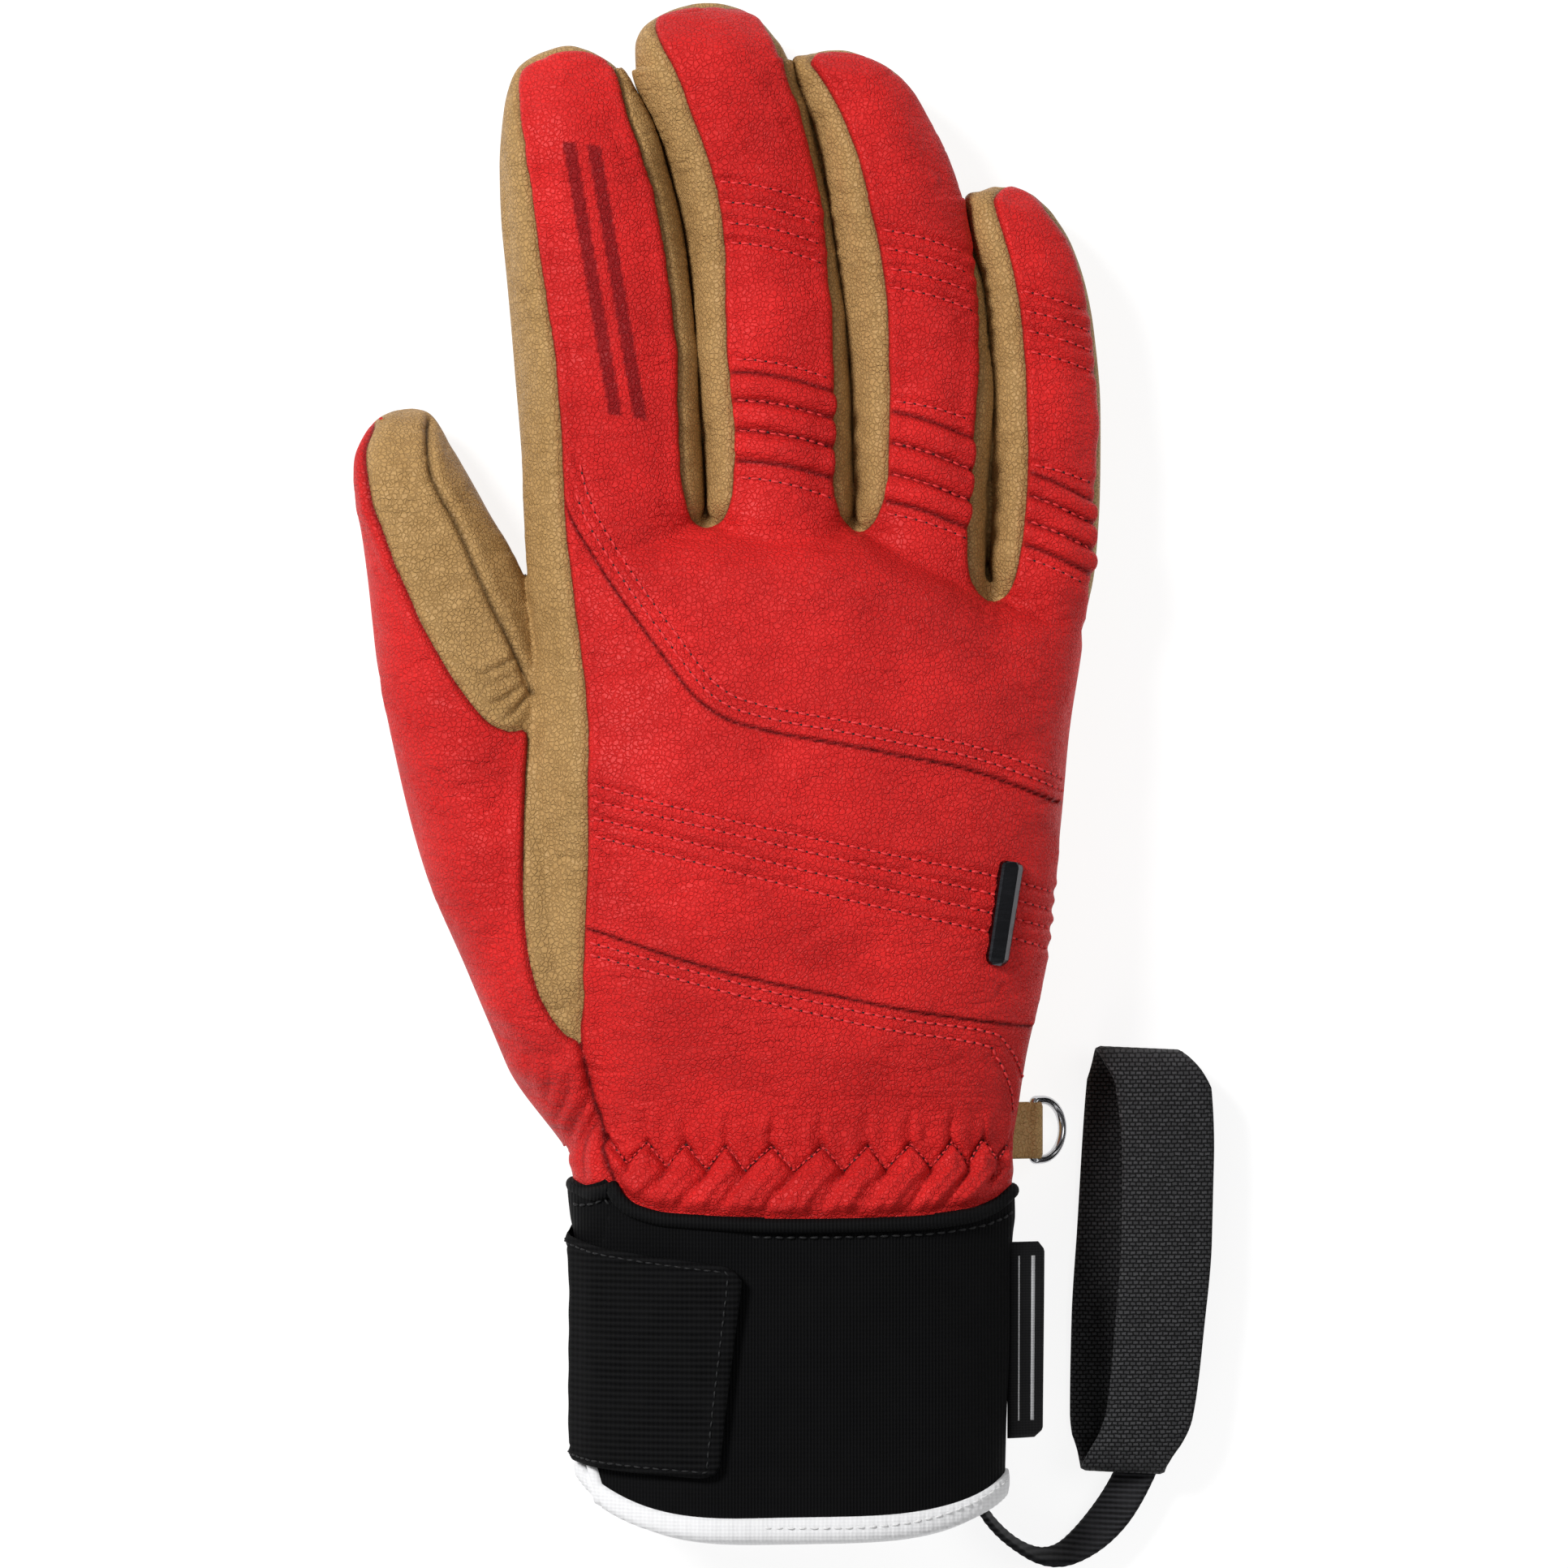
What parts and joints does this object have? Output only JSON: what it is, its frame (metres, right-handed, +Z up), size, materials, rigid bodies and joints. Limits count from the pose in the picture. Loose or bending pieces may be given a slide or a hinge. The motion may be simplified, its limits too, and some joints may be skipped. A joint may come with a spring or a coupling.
{
  "type": "ski glove",
  "caption": "Padded leather ski glove with jointed fingers and thumb, hook-and-loop cuff tab, hanging ring and elastic wrist leash.",
  "frame": {"origin": "on the table under the middle of the glove's bounding box, leash left out", "axes": "+Z up out of the back of the hand, +Y towards the fingertips, -X towards the thumb"},
  "size_m": [0.1668, 0.2993, 0.0468],
  "materials": {
    "red_leather": "grained, soft sheen",
    "tan_leather": "grained, matt",
    "palm_leather": "grained, matt",
    "fleece": "brushed pile",
    "membrane_film": "thin film",
    "filling": "loose fibre wadding",
    "elastic": "woven elastic",
    "neoprene": "knit-faced foam rubber, matt",
    "black_binding": "rolled tape",
    "white_binding": "woven tape",
    "loop_pile": "looped pile",
    "tab_fabric": "ribbed, matt",
    "hook_tape": "moulded hooks",
    "woven_label": "woven",
    "gunmetal": "polished black nickel",
    "chrome": "polished",
    "grosgrain": "cross-ribbed tape",
    "leash_elastic": "fine ribbed weave"
  },
  "bodies": {
    "hand": {"hand_back_upper": "red_leather", "hand_back_middle": "red_leather", "hand_back_wrist": "red_leather", "side_strip": "tan_leather", "palm": "tan_leather", "palm_patch": "palm_leather", "membrane": "membrane_film", "insulation": "filling", "hand_lining": "fleece", "wrist_elastic": "elastic", "index_base": "red_leather", "middle_base": "red_leather", "ring_base": "red_leather", "little_base": "red_leather", "thumb_base_back": "red_leather", "thumb_base_palm": "tan_leather", "cuff_sleeve": "neoprene", "cuff_underlap": "neoprene", "cuff_top_binding": "black_binding", "hem_binding": "white_binding", "cuff_loop_patch": "loop_pile", "side_label": "woven_label", "badge_bar": "gunmetal", "ring_loop": "tan_leather", "leash_tape": "grosgrain", "leash_loop": "leash_elastic"},
    "thumb": {"thumb_back": "red_leather", "thumb_front": "tan_leather", "thumb_palm_side": "tan_leather", "thumb_lining": "fleece"},
    "closure_tab": {"closure_tab": "tab_fabric", "tab_hook_patch": "hook_tape"},
    "d_ring": {"d_ring": "chrome"},
    "index_finger": {"index_back": "red_leather", "index_front": "tan_leather", "index_side_radial": "tan_leather", "index_side_ulnar": "tan_leather", "index_lining": "fleece"},
    "middle_finger": {"middle_back": "red_leather", "middle_front": "tan_leather", "middle_side_radial": "tan_leather", "middle_side_ulnar": "tan_leather", "middle_lining": "fleece", "middle_knuckle_pleats": "red_leather"},
    "ring_finger": {"ring_back": "red_leather", "ring_front": "tan_leather", "ring_side_radial": "tan_leather", "ring_side_ulnar": "tan_leather", "ring_lining": "fleece", "ring_knuckle_pleats": "red_leather"},
    "little_finger": {"little_back": "red_leather", "little_front": "tan_leather", "little_side_radial": "tan_leather", "little_side_ulnar": "tan_leather", "little_lining": "fleece", "little_knuckle_pleats": "red_leather"}
  },
  "joints": [
    {"name": "index_bend", "type": "hinge", "parent": "hand", "child": "index_finger", "pos_m": [-0.0219, 0.06, 0.0115], "axis": [-0.9969, -0.0785, 0], "range_deg": [-15, 70], "stiffness_Nm_per_rad": 0.3},
    {"name": "middle_bend", "type": "hinge", "parent": "hand", "child": "middle_finger", "pos_m": [0.0103, 0.06, 0.0115], "axis": [-0.9976, -0.0698, 0], "range_deg": [-15, 70], "stiffness_Nm_per_rad": 0.3},
    {"name": "ring_bend", "type": "hinge", "parent": "hand", "child": "ring_finger", "pos_m": [0.038, 0.056, 0.0115], "axis": [-0.999, -0.0454, 0], "range_deg": [-15, 70], "stiffness_Nm_per_rad": 0.3},
    {"name": "little_bend", "type": "hinge", "parent": "hand", "child": "little_finger", "pos_m": [0.0616, 0.046, 0.0115], "axis": [-0.9971, -0.0767, 0], "range_deg": [-15, 70], "stiffness_Nm_per_rad": 0.3},
    {"name": "thumb_swing", "type": "hinge", "parent": "hand", "child": "thumb", "pos_m": [-0.0523, 0.0227, 0.016], "axis": [0, 0, 1], "range_deg": [-6, 22], "stiffness_Nm_per_rad": 0.3},
    {"name": "tab_peel", "type": "hinge", "parent": "hand", "child": "closure_tab", "pos_m": [-0.0309, -0.1107, 0.023], "axis": [0, -1, 0], "range_deg": [0, 150]},
    {"name": "ring_swing", "type": "hinge", "parent": "hand", "child": "d_ring", "pos_m": [0.0589, -0.07, 0.009], "axis": [0, -1, 0], "range_deg": [0, 130]}
  ]
}
